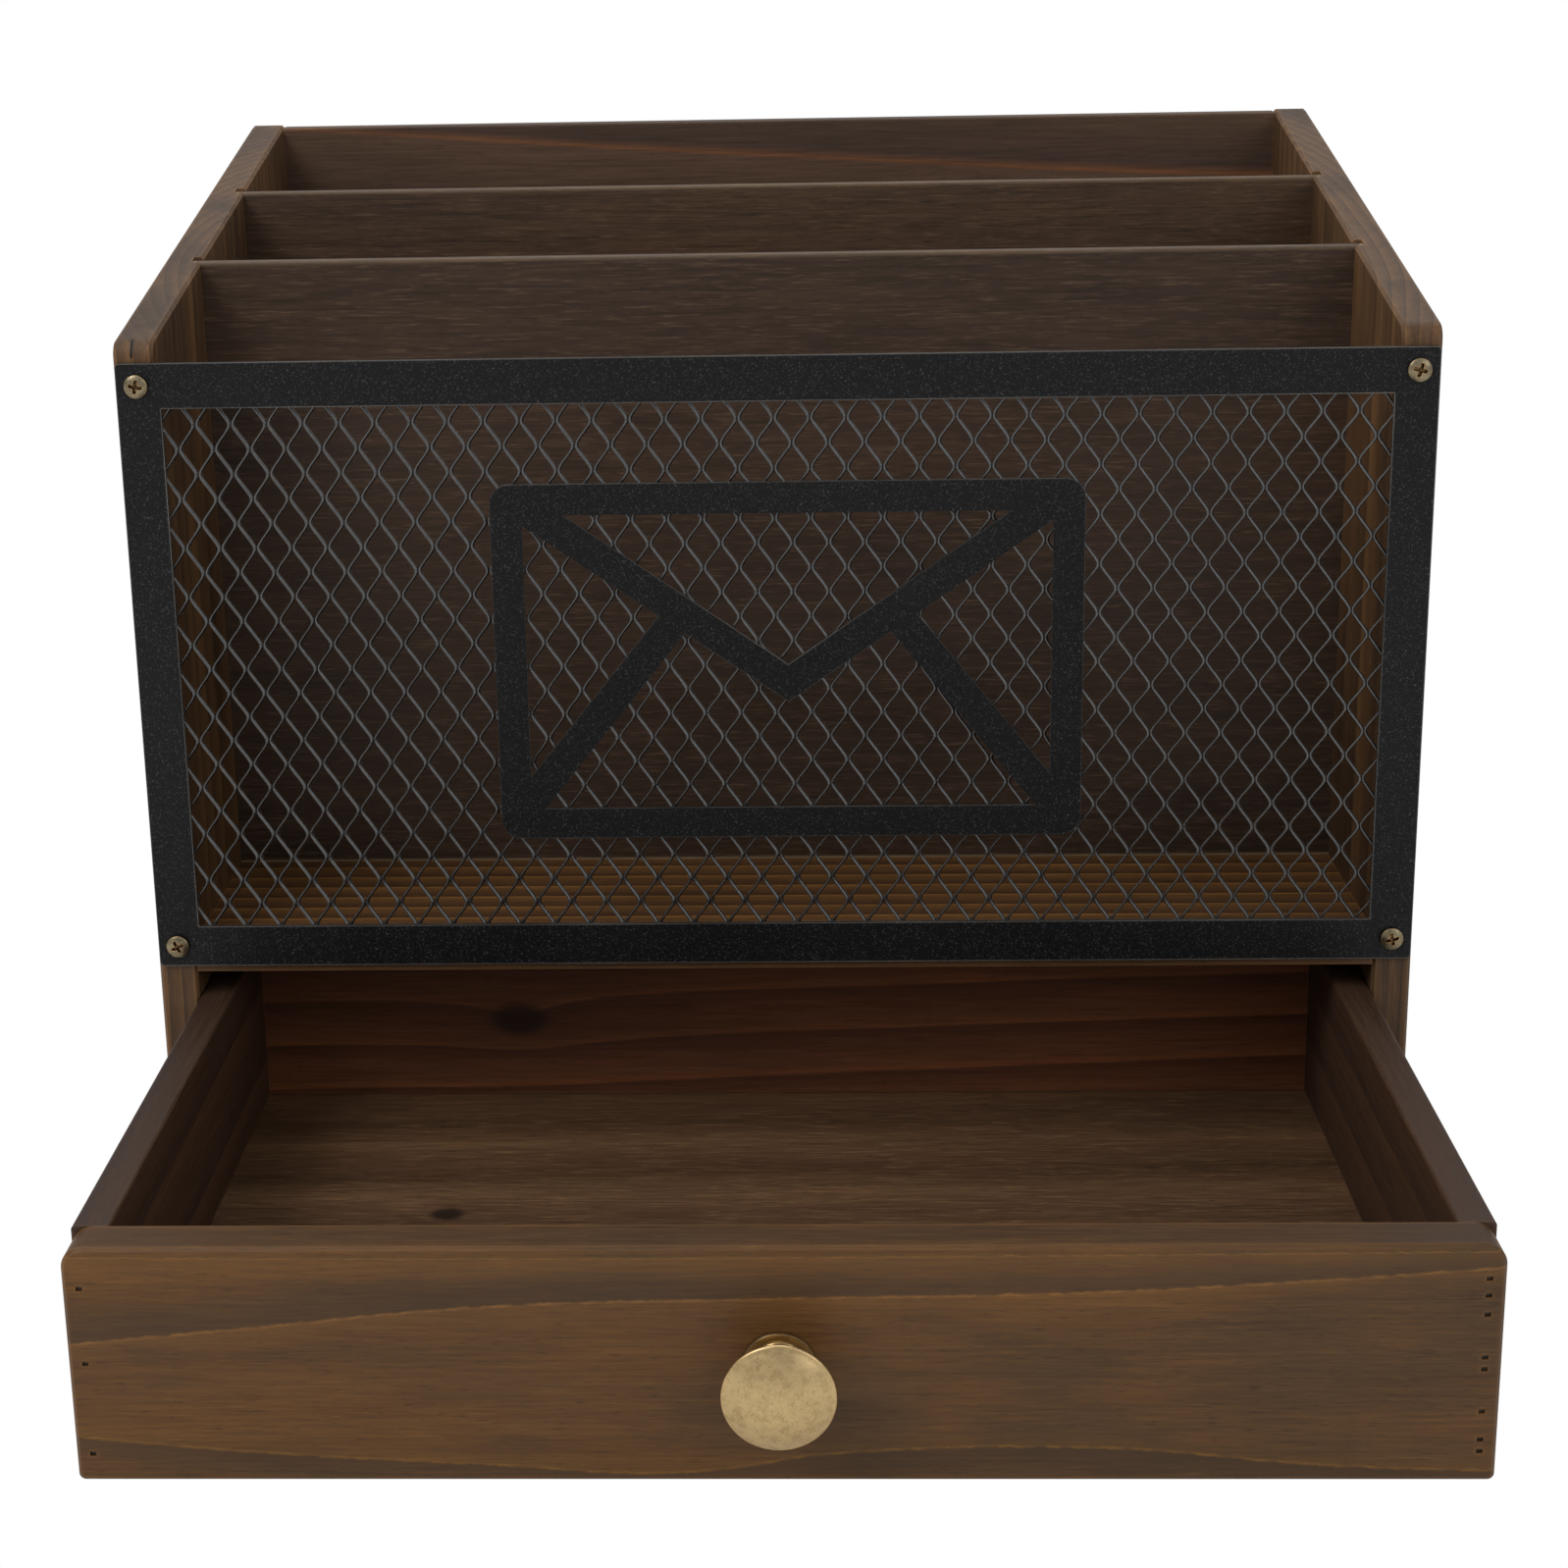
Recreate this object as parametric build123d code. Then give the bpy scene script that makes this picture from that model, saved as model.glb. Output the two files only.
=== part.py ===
from build123d import *
import math
import os

# Envelope sorter with one drawer: a stained pine case with three letter slots behind a
# framed mesh screen, and a drawer below them. Millimetres; +X right, +Y to the back, +Z up.
# The origin lies on the table, in the middle of the case's footprint. The drawer stands open.

os.makedirs("parts", exist_ok=True)

# Case
case_width = 330.0
case_depth = 190.0
front_height = 240.0
back_height = 282.0
side_board = 10.0
back_board = 8.0
floor_board = 9.0
bottom_board = 8.0
top_corner_radius = 4.5
arris = 0.8

# Dividers, slid into grooves in the side panels
divider_board = 4.0
divider_pitch = 59.2
groove_depth = 2.5
groove_gap = 0.15

# Drawer
drawer_height = 56.5
drawer_front_board = 10.0
drawer_side_board = 8.5
drawer_back_board = 8.0
drawer_floor_board = 4.0
drawer_floor_rise = 6.7
drawer_floor_groove = 3.0
drawer_end_radius = 5.0
drawer_foot_radius = 1.5
drawer_side_gap = 0.4
drawer_lift = 0.5
drawer_headroom = 7.0
drawer_stop_gap = 1.0
drawer_engaged = 44.0

# Sheet-metal frame and the expanded mesh behind it
sheet = 1.0
frame_inset = 0.5
frame_top_margin = 5.0
frame_rise = 2.0
frame_corner_radius = 1.2
side_rail = 11.0
top_rail = 11.5
bottom_rail = 11.0
mesh_sheet = 1.2
mesh_gap = 0.3
mesh_lap = 5.0
mesh_border = 1.0
strand = 1.3
mesh_pitch_x = 15.6
mesh_pitch_z = 21.0

# Frame screws
screw_edge_x = 5.2
screw_edge_z = 5.7
screw_head_diameter = 5.9
screw_head_height = 1.5
screw_shank_diameter = 2.8
screw_length = 16.0
screw_hole_gap = 0.2
pilot_gap = 0.05
screw_turns = [20, 65, 38, 8]
recess_length = 3.2
recess_width = 0.8
recess_depth = 0.9

# Knob and its machine screw; its levels are heights above the drawer front
knob_diameter = 24.8
knob_projection = 17.0
knob_flange_diameter = 16.4
knob_flange_height = 1.2
knob_collar_diameter = 11.4
knob_collar_level = 2.8
knob_neck_diameter = 8.0
knob_neck_level = 7.6
knob_rim_level = 12.2
knob_rim_height = 1.0
knob_dome_steps = 3
knob_bore_depth = 9.0
machine_screw_diameter = 4.0
machine_screw_engagement = 8.0
machine_screw_head_diameter = 8.0
machine_screw_head_height = 2.6
machine_screw_hole_gap = 0.25

# Slim headless brads, set below the surface
brad_width = 1.3
brad_thickness = 1.0
brad_length = 25.0
brad_set = 0.6
brad_gap = 0.05
brad_edge = 3.7

# Levels and places worked out from the sizes above
front_y = -case_depth / 2
back_y = case_depth / 2
half_width = case_width / 2
half_inside = half_width - side_board
back_face_y = back_y - back_board
drawer_bottom = bottom_board + drawer_lift
drawer_top = drawer_bottom + drawer_height
floor_bottom = drawer_top + drawer_headroom
floor_top = floor_bottom + floor_board
floor_middle = floor_bottom + floor_board / 2
frame_bottom = floor_bottom + frame_rise
frame_top = front_height - frame_top_margin
half_frame = half_width - frame_inset
divider_fronts = [front_y + divider_pitch, front_y + 2 * divider_pitch]

drawer_depth = case_depth - back_board - drawer_stop_gap
drawer_front_y = front_y - (drawer_depth - drawer_engaged)
drawer_back_y = drawer_front_y + drawer_depth
drawer_side_front_y = drawer_front_y + drawer_front_board
drawer_inner_back_y = drawer_back_y - drawer_back_board
half_drawer = half_inside - drawer_side_gap
half_drawer_inside = half_drawer - drawer_side_board
drawer_floor_bottom = drawer_bottom + drawer_floor_rise
drawer_floor_top = drawer_floor_bottom + drawer_floor_board
knob_z = drawer_bottom + drawer_height / 2

# Where the brads go, as shares of the edge that they hold
side_brad_places = [0.15, 0.5, 0.85]
front_brads_left = [0.12, 0.51, 0.83]
front_brads_right = [0.13, 0.18, 0.30, 0.48, 0.53, 0.71, 0.79, 0.86]
drawer_back_brads = [0.35, 0.78]


def top_at(y):
    """Height of the case's sloping top at depth y."""
    return front_height + (back_height - front_height) * (y - front_y) / case_depth


def block(x, y, z):
    """Box between two limits along each axis."""
    centre = Pos((x[0] + x[1]) / 2, (y[0] + y[1]) / 2, (z[0] + z[1]) / 2)
    return centre * Box(x[1] - x[0], y[1] - y[0], z[1] - z[0])


def spread(start, end, shares):
    """Points at the given shares of the way from start to end."""
    return [start + (end - start) * share for share in shares]


def save(node, shape):
    shape.label = node
    export_step(shape, f"parts/{node}.step")


# Brads

def brad():
    """One brad, driven down -Z into a board whose surface is at Z = 0."""
    x = (-brad_width / 2, brad_width / 2)
    y = (-brad_thickness / 2, brad_thickness / 2)
    return block(x, y, (-brad_set - brad_length, -brad_set))


def brad_hole():
    """The hole that a brad leaves: its own shape, a little larger and open to the surface."""
    half_brad = brad_width / 2 + brad_gap
    half_thickness = brad_thickness / 2 + brad_gap
    tip = -brad_set - brad_length - brad_gap
    x = (-half_brad, half_brad)
    y = (-half_thickness, half_thickness)
    return block(x, y, (tip, brad_set))


one_brad = brad()
one_brad_hole = brad_hole()


def facing_side(side, x, y, z):
    """A place on a face that looks along side (-1 left, +1 right), brads lying along Y."""
    return Plane(origin=(x, y, z), x_dir=(0, 1, 0), z_dir=(side, 0, 0)).location


def facing_front(x, y, z):
    """A place on a face that looks to the front, brads lying along X."""
    return Plane(origin=(x, y, z), x_dir=(1, 0, 0), z_dir=(0, -1, 0)).location


def facing_back(x, y, z):
    """A place on a face that looks to the back, brads lying along X."""
    return Plane(origin=(x, y, z), x_dir=(1, 0, 0), z_dir=(0, 1, 0)).location


def case_side_places(side):
    """Brads through a side panel into the sorter floor, the case bottom and the back."""
    x = side * half_width
    along_floor = spread(front_y, back_face_y, side_brad_places)
    up_back = spread(floor_top, top_at(back_face_y), side_brad_places)
    places = [facing_side(side, x, y, floor_middle) for y in along_floor]
    places += [facing_side(side, x, y, bottom_board / 2) for y in along_floor]
    places += [facing_side(side, x, back_y - back_board / 2, z) for z in up_back]
    return places


def case_back_places():
    """Brads through the back panel into the sorter floor and the case bottom."""
    across = spread(-half_inside, half_inside, side_brad_places)
    places = [facing_back(x, back_y, floor_middle) for x in across]
    places += [facing_back(x, back_y, bottom_board / 2) for x in across]
    return places


def drawer_front_places():
    """Brads through the drawer front into the front ends of the drawer sides."""
    x = half_drawer - brad_edge
    left = spread(drawer_bottom, drawer_top, front_brads_left)
    right = spread(drawer_bottom, drawer_top, front_brads_right)
    places = [facing_front(-x, drawer_front_y, z) for z in left]
    places += [facing_front(x, drawer_front_y, z) for z in right]
    return places


def drawer_back_places(side):
    """Brads through a drawer side into the end of the drawer back."""
    x = side * half_drawer
    y = drawer_back_y - drawer_back_board / 2
    return [facing_side(side, x, y, z) for z in spread(drawer_bottom, drawer_top, drawer_back_brads)]


def holes(places):
    return [place * one_brad_hole for place in places]


def brads(places):
    return Compound(children=[place * one_brad for place in places])


# Case

def frame_screw_places():
    """Centres of the four frame screws on the wood's front plane."""
    x = half_frame - screw_edge_x
    low = frame_bottom + screw_edge_z
    high = frame_top - screw_edge_z
    return [(-x, low), (x, low), (-x, high), (x, high)]


def side_panel(side):
    """A side board with a sloping top, eased arrises and the divider grooves."""
    with BuildSketch(Plane.YZ.offset(side * half_width)) as outline:
        with BuildLine():
            Polyline(
                (front_y, 0),
                (back_y, 0),
                (back_y, back_height),
                (front_y, front_height),
                close=True,
            )
        make_face()
    panel = extrude(outline.sketch, amount=-side * side_board)
    panel = fillet(panel.edges().filter_by(Axis.X).sort_by(Axis.Z)[2:], top_corner_radius)
    panel = chamfer(panel.faces().sort_by(Axis.X)[0].edges(), arris)
    panel = chamfer(panel.faces().sort_by(Axis.X)[-1].edges(), arris)
    inner_x = side * half_inside
    groove_x = sorted([inner_x, inner_x + side * groove_depth])
    groove_x[0 if side > 0 else 1] -= side * arris
    cuts = []
    for y in divider_fronts:
        groove_y = (y - groove_gap, y + divider_board + groove_gap)
        cuts.append(block(groove_x, groove_y, (floor_top, back_height)))
    pilot_radius = screw_shank_diameter / 2 + pilot_gap
    pilot_depth = screw_length - sheet + pilot_gap
    for x, z in frame_screw_places():
        if x * side > 0:
            cuts.append(Pos(x, front_y, z) * Rot(90, 0, 0) * Cylinder(pilot_radius, 2 * pilot_depth))
    return panel - cuts - holes(case_side_places(side))


def back_panel():
    """The back board, between the side panels and as high as their slope at its front."""
    panel = block((-half_inside, half_inside), (back_face_y, back_y), (0, top_at(back_face_y)))
    top_edges = panel.faces().sort_by(Axis.Z)[-1].edges().filter_by(Axis.X)
    panel = fillet(top_edges, arris)
    side_holes = holes(case_side_places(-1)) + holes(case_side_places(1))
    return panel - side_holes - holes(case_back_places())


def divider(y):
    """A thin divider, its ends in the grooves and its top level with the slope."""
    reach = half_inside + groove_depth - groove_gap
    panel = block((-reach, reach), (y, y + divider_board), (floor_top, top_at(y)))
    top_edges = panel.faces().sort_by(Axis.Z)[-1].edges().filter_by(Axis.X)
    return fillet(top_edges, divider_board / 4)


def shelf(low, high):
    """A horizontal board between the side panels, from the case front to the back panel."""
    panel = block((-half_inside, half_inside), (front_y, back_face_y), (low, high))
    side_holes = holes(case_side_places(-1)) + holes(case_side_places(1))
    return panel - side_holes - holes(case_back_places())


def front_frame():
    """The sheet-metal frame, screwed to the front edges of the side panels."""
    middle_z = (frame_bottom + frame_top) / 2
    window_bottom = frame_bottom + bottom_rail
    window_top = frame_top - top_rail
    hole_radius = screw_shank_diameter / 2 + screw_hole_gap
    with BuildSketch(Plane.XZ.offset(-front_y)) as outline:
        with Locations((0, middle_z)):
            RectangleRounded(2 * half_frame, frame_top - frame_bottom, frame_corner_radius)
        with Locations((0, (window_bottom + window_top) / 2)):
            Rectangle(2 * (half_frame - side_rail), window_top - window_bottom, mode=Mode.SUBTRACT)
        with Locations(*frame_screw_places()):
            Circle(hole_radius, mode=Mode.SUBTRACT)
    return extrude(outline.sketch, amount=sheet)


def mesh_screen():
    """Expanded sheet: staggered diamonds, with strands of one width between them."""
    width = 2 * (half_inside - mesh_gap)
    low = floor_top + mesh_gap
    high = frame_top - top_rail + mesh_lap
    height = high - low
    middle = (0, (low + high) / 2)
    # A diamond's half sizes, so that two parallel sides lie one strand apart
    side_length = math.hypot(mesh_pitch_x, mesh_pitch_z)
    half_x = mesh_pitch_x / 2 - strand * side_length / mesh_pitch_z / 2
    half_z = mesh_pitch_z / 2 - strand * side_length / mesh_pitch_x / 2
    columns = math.ceil(width / mesh_pitch_x)
    rows = math.ceil(height / mesh_pitch_z)
    diamond = [(half_x, 0), (0, half_z), (-half_x, 0), (0, -half_z)]
    with BuildSketch() as gaps:
        with GridLocations(mesh_pitch_x, mesh_pitch_z, columns, rows):
            Polygon(*diamond)
        with GridLocations(mesh_pitch_x, mesh_pitch_z, columns + 1, rows + 1):
            Polygon(*diamond)
        Rectangle(width - 2 * mesh_border, height - 2 * mesh_border, mode=Mode.INTERSECT)
    plane = Plane.XZ.offset(-front_y - mesh_sheet)
    plate = Rectangle(width, height) - gaps.sketch
    return extrude(plane * Pos(*middle) * plate, amount=mesh_sheet)


def screw(diameter, length, head_diameter, head_height):
    """A pan-head screw with a cross recess, pointing down -Z, its seat at Z = 0."""
    head = Pos(0, 0, head_height / 2) * Cylinder(head_diameter / 2, head_height)
    shank = Pos(0, 0, -length / 2) * Cylinder(diameter / 2, length)
    cross = Box(recess_length, recess_width, 2 * recess_depth)
    cross += Box(recess_width, recess_length, 2 * recess_depth)
    return head + shank - Pos(0, 0, head_height) * cross


def frame_screws():
    """Four screws through the frame into the side panels' front edges."""
    one = screw(screw_shank_diameter, screw_length, screw_head_diameter, screw_head_height)
    shapes = []
    for turn, (x, z) in zip(screw_turns, frame_screw_places()):
        place = Plane(origin=(x, front_y - sheet, z), x_dir=(1, 0, 0), z_dir=(0, -1, 0)).location
        shapes.append(place * Rot(0, 0, turn) * one)
    return Compound(children=shapes)


# Drawer

def floor_channel():
    """The groove for the drawer floor, all round the inside of the drawer."""
    reach_x = half_drawer_inside + drawer_floor_groove
    front = drawer_side_front_y - drawer_floor_groove
    back = drawer_inner_back_y + drawer_floor_groove
    low = drawer_floor_bottom - groove_gap
    high = drawer_floor_top + groove_gap
    return block((-reach_x, reach_x), (front, back), (low, high))


def drawer_front():
    """The drawer front, with rounded ends, the knob screw's hole and the floor's groove."""
    y = (drawer_front_y, drawer_side_front_y)
    front = block((-half_drawer, half_drawer), y, (drawer_bottom, drawer_top))
    front = fillet(front.edges().filter_by(Axis.Y).group_by(Axis.Z)[-1], drawer_end_radius)
    front = fillet(front.edges().filter_by(Axis.Y).group_by(Axis.Z)[0], drawer_foot_radius)
    front = chamfer(front.faces().sort_by(Axis.Y)[0].edges(), arris)
    radius = machine_screw_diameter / 2 + machine_screw_hole_gap
    bore = Pos(0, drawer_front_y, knob_z) * Rot(90, 0, 0) * Cylinder(radius, 3 * drawer_front_board)
    return front - bore - floor_channel() - holes(drawer_front_places())


def drawer_side(side):
    """A drawer side, behind the front's end and beside the back's."""
    x = sorted([side * half_drawer, side * half_drawer_inside])
    panel = block(x, (drawer_side_front_y, drawer_back_y), (drawer_bottom, drawer_top))
    top_edges = panel.faces().sort_by(Axis.Z)[-1].edges().filter_by(Axis.Y)
    panel = fillet(top_edges, arris)
    return panel - floor_channel() - holes(drawer_front_places()) - holes(drawer_back_places(side))


def drawer_back():
    """The drawer back, between the drawer sides."""
    x = (-half_drawer_inside, half_drawer_inside)
    panel = block(x, (drawer_inner_back_y, drawer_back_y), (drawer_bottom, drawer_top))
    top_edges = panel.faces().sort_by(Axis.Z)[-1].edges().filter_by(Axis.X)
    panel = fillet(top_edges, arris)
    side_holes = holes(drawer_back_places(-1)) + holes(drawer_back_places(1))
    return panel - floor_channel() - side_holes


def drawer_floor():
    """The drawer floor, its four edges in the grooves."""
    reach_x = half_drawer_inside + drawer_floor_groove - groove_gap
    front = drawer_side_front_y - drawer_floor_groove + groove_gap
    back = drawer_inner_back_y + drawer_floor_groove - groove_gap
    return block((-reach_x, reach_x), (front, back), (drawer_floor_bottom, drawer_floor_top))


def dome_points(radius, low, high):
    """Points down a dome's side, from its rim to its crown, on one arc."""
    rise = high - low
    arc_radius = (radius ** 2 + rise ** 2) / (2 * rise)
    half_angle = math.asin(radius / arc_radius)
    points = []
    for step in range(knob_dome_steps + 1):
        angle = half_angle * (1 - step / knob_dome_steps)
        points.append((arc_radius * math.sin(angle), high - arc_radius * (1 - math.cos(angle))))
    return points


def drawer_knob():
    """A mushroom knob turned in one piece, with a blind bore for the machine screw."""
    flange = knob_flange_diameter / 2
    collar = knob_collar_diameter / 2
    neck = knob_neck_diameter / 2
    rim = knob_diameter / 2
    bore = machine_screw_diameter / 2 + pilot_gap
    with BuildSketch(Plane.XZ) as profile:
        with BuildLine():
            Polyline(
                (0, knob_bore_depth),
                (bore, knob_bore_depth),
                (bore, 0),
                (flange, 0),
                (flange, knob_flange_height),
                (collar, knob_flange_height),
                (collar, knob_collar_level),
                (neck, knob_collar_level),
                (neck, knob_neck_level),
                (rim, knob_rim_level),
                *dome_points(rim, knob_rim_level + knob_rim_height, knob_projection),
                close=True,
            )
        make_face()
    turned = revolve(profile.sketch, Axis.Z)
    return Pos(0, drawer_front_y, knob_z) * Rot(90, 0, 0) * turned


def knob_screw():
    """The machine screw from inside the drawer into the knob."""
    seat = Plane(origin=(0, drawer_side_front_y, knob_z), x_dir=(1, 0, 0), z_dir=(0, 1, 0)).location
    length = drawer_front_board + machine_screw_engagement
    return seat * screw(
        machine_screw_diameter, length, machine_screw_head_diameter, machine_screw_head_height
    )


save("left_side_panel", side_panel(-1))
save("right_side_panel", side_panel(1))
save("back_panel", back_panel())
save("front_divider", divider(divider_fronts[0]))
save("rear_divider", divider(divider_fronts[1]))
save("sorter_floor", shelf(floor_bottom, floor_top))
save("case_bottom", shelf(0, bottom_board))
save("front_frame", front_frame())
save("mesh_screen", mesh_screen())
save("frame_screws", frame_screws())
save("left_side_brads", brads(case_side_places(-1)))
save("right_side_brads", brads(case_side_places(1)))
save("back_brads", brads(case_back_places()))
save("drawer_front", drawer_front())
save("drawer_left_side", drawer_side(-1))
save("drawer_right_side", drawer_side(1))
save("drawer_back", drawer_back())
save("drawer_floor", drawer_floor())
save("drawer_knob", drawer_knob())
save("knob_screw", knob_screw())
save("drawer_front_brads", brads(drawer_front_places()))
save("drawer_back_brads", brads(drawer_back_places(-1) + drawer_back_places(1)))
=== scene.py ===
import math
from functools import partial

import bmesh
import bpy
from mathutils import Matrix, Vector


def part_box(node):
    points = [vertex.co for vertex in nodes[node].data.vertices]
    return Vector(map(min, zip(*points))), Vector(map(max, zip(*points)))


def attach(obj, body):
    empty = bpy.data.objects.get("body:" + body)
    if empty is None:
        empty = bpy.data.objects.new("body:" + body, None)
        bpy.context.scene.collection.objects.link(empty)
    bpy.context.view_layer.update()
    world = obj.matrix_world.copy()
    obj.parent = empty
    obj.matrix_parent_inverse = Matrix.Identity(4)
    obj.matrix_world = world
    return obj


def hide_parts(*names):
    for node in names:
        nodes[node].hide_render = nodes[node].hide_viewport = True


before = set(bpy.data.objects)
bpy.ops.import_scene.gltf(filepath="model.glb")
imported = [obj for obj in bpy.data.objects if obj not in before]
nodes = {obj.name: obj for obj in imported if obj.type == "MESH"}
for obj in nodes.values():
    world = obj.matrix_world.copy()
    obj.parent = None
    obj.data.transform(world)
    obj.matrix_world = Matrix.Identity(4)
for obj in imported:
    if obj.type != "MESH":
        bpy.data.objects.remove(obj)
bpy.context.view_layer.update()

millimetre = 0.001
print("frame loaded:", len(nodes), "nodes")


# Small helpers

def linearColour(hexCode):  # sRGB hex to the linear colour that shaders take
    parts = [int(hexCode[i:i + 2], 16) / 255 for i in (0, 2, 4)]
    linear = [p / 12.92 if p <= 0.04045 else ((p + 0.055) / 1.055) ** 2.4 for p in parts]
    return (*linear, 1.0)


def addNode(tree, kind, settings=None, links=None):  # links: input name or index to a socket or a value
    node = tree.nodes.new(kind)
    for key, value in (settings or {}).items():
        setattr(node, key, value)
    for key, value in (links or {}).items():
        if isinstance(value, bpy.types.NodeSocket):
            tree.links.new(value, node.inputs[key])
        else:
            node.inputs[key].default_value = value
    return node


def maths(tree, operation, *values):
    return addNode(tree, "ShaderNodeMath", {"operation": operation}, dict(enumerate(values))).outputs[0]


def vectorMaths(tree, operation, *values):
    node = addNode(tree, "ShaderNodeVectorMath", {"operation": operation}, dict(enumerate(values)))
    return node.outputs["Value" if operation in ("LENGTH", "DOT_PRODUCT") else "Vector"]


def scaled(tree, vector, factor):
    return addNode(tree, "ShaderNodeVectorMath", {"operation": "SCALE"}, {0: vector, 3: factor}).outputs[0]


def combined(tree, x=0.0, y=0.0, z=0.0):
    return addNode(tree, "ShaderNodeCombineXYZ", links={0: x, 1: y, 2: z}).outputs[0]


def separated(tree, vector):
    return addNode(tree, "ShaderNodeSeparateXYZ", links={0: vector}).outputs


def clamped(tree, value, low=0.0, high=1.0):
    return addNode(tree, "ShaderNodeClamp", links={"Value": value, "Min": low, "Max": high}).outputs[0]


def remapped(tree, value, start, end, low=0.0, high=1.0, smooth=False):  # start to end becomes low to high
    kind = "SMOOTHSTEP" if smooth else "LINEAR"
    return addNode(tree, "ShaderNodeMapRange", {"interpolation_type": kind}, {
        "Value": value, "From Min": start, "From Max": end, "To Min": low, "To Max": high}).outputs[0]


def overlaid(tree, share, under, hexCode):  # a colour laid over another by its share
    return addNode(tree, "ShaderNodeMix", {"data_type": "RGBA"}, {
        0: share, 6: under, 7: linearColour(hexCode)}).outputs[2]


def noise(tree, place, scale, detail, roughness=0.5, distortion=0.0, seed=None):
    settings, links = {}, {
        "Vector": place, "Scale": scale, "Detail": detail, "Roughness": roughness, "Distortion": distortion}
    if seed is not None:
        settings["noise_dimensions"] = "4D"
        links["W"] = seed
    return addNode(tree, "ShaderNodeTexNoise", settings, links).outputs["Fac"]


def lineNoise(tree, along, perMetre, offset, detail, roughness=0.5):  # noise that runs along one line
    return addNode(tree, "ShaderNodeTexNoise", {"noise_dimensions": "1D"}, {
        "W": maths(tree, "MULTIPLY_ADD", along, perMetre, offset),
        "Detail": detail, "Roughness": roughness}).outputs["Fac"]


def objectPlace(tree):
    return addNode(tree, "ShaderNodeTexCoord").outputs["Object"]


def bumped(tree, height, strength, depth):  # depth in mm
    return addNode(tree, "ShaderNodeBump", links={
        "Height": height, "Strength": strength, "Distance": depth * millimetre}).outputs[0]


def newMaterial(name):  # an empty material and its tree
    material = bpy.data.materials.new(name)
    material.use_nodes = True
    material.node_tree.nodes.clear()
    return material, material.node_tree


def finishMaterial(tree, shader):
    addNode(tree, "ShaderNodeOutputMaterial", links={"Surface": shader.outputs[0]})


def coat(material, *names):  # puts a material on CAD nodes
    for name in names:
        mesh = nodes[name].data
        mesh.materials.clear()
        mesh.materials.append(material)


def colourRamp(tree, factor, stops):  # stops: (place, hex code)
    ramp = addNode(tree, "ShaderNodeValToRGB", links={"Fac": factor})
    elements = ramp.color_ramp.elements
    while len(elements) < len(stops):
        elements.new(0.5)
    for element, (place, hexCode) in zip(elements, stops):
        element.position = place
        element.color = linearColour(hexCode)
    return ramp.outputs["Color"]


def wornEdge(tree, radius):  # 0 on flat faces, rising towards an arris; radius in mm
    rounded = addNode(tree, "ShaderNodeBevel", {"samples": 4}, {"Radius": radius * millimetre}).outputs[0]
    flat = addNode(tree, "ShaderNodeNewGeometry").outputs["True Normal"]
    return remapped(tree, vectorMaths(tree, "DOT_PRODUCT", rounded, flat), 0.995, 0.80)


# Stained wood. Grain runs along one axis; rings are cylinders round a pith line beside the board.

usualSpan = (0.3, 0.7)  # where most of a noise's values lie
woodTexture = {
    "fibres": (48, 1250), "bands": (11, 230),  # per metre: along the grain, across it
    "pores": (240, 2400), "flecks": (130, 2000),
    "fibreSpan": (0.32, 0.68), "bandSpan": usualSpan, "poreSpan": (0.56, 0.68), "fleckSpan": (0.54, 0.72),
    "patchSpan": (0.42, 0.66), "paintedTopShadeSpan": (0.5, 0.95), "heartSpan": (1.05, 0.45),
    "knotFall": 0.35,  # how fast a knot's push fades
    "arris": 1.6,  # mm, the width of the rubbed edge
    "glossier": 0.08, "duller": 0.1,  # how far the roughness swings with the fibres
}


def streaks(tree, grainAxes, kind, seed):  # noise drawn out along the grain
    along, across, through = grainAxes
    perMetreAlong, perMetreAcross = woodTexture[kind]
    place = combined(tree, maths(tree, "MULTIPLY", along, perMetreAlong),
                     maths(tree, "MULTIPLY", across, perMetreAcross),
                     maths(tree, "MULTIPLY", through, perMetreAcross))
    return noise(tree, place, 1.0, 3.0, roughness=0.6, seed=seed)


def knotDistance(tree, place, knot):  # distance from a knot's heart, in its own radii
    away = vectorMaths(tree, "SUBTRACT", place, tuple(c * millimetre for c in knot["at"]))
    flat = vectorMaths(tree, "MULTIPLY", away, knot["squeeze"])
    return maths(tree, "DIVIDE", vectorMaths(tree, "LENGTH", flat), knot["radius"] * millimetre)


def ringColour(tree, look, grainAxes, drawnOut, knots):  # growth rings, slowly bent and pushed aside by knots
    along, across, through = grainAxes
    bend = noise(tree, drawnOut, look["bendScale"], 1.5, seed=look["seed"])
    bent = maths(tree, "MULTIPLY_ADD", bend, look["bend"], -look["bend"] / 2)
    for knot, distance in knots:
        squared = maths(tree, "MULTIPLY", distance, distance)
        fall = maths(tree, "MULTIPLY_ADD", squared, woodTexture["knotFall"], 1.0)
        bent = maths(tree, "ADD", bent, maths(tree, "DIVIDE", knot["push"] * millimetre, fall))
    pithAcross, pithThrough = [c * millimetre for c in look["pith"]]
    fromPith = vectorMaths(tree, "LENGTH", combined(
        tree, maths(tree, "SUBTRACT", across, pithAcross), maths(tree, "SUBTRACT", through, pithThrough)))
    sloped = maths(tree, "MULTIPLY_ADD", along, look.get("slope", 0.0), fromPith)
    phase = maths(tree, "DIVIDE", maths(tree, "ADD", sloped, bent), look["ringPitch"] * millimetre)
    return colourRamp(tree, maths(tree, "FRACT", phase), look["ringStops"])


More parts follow.
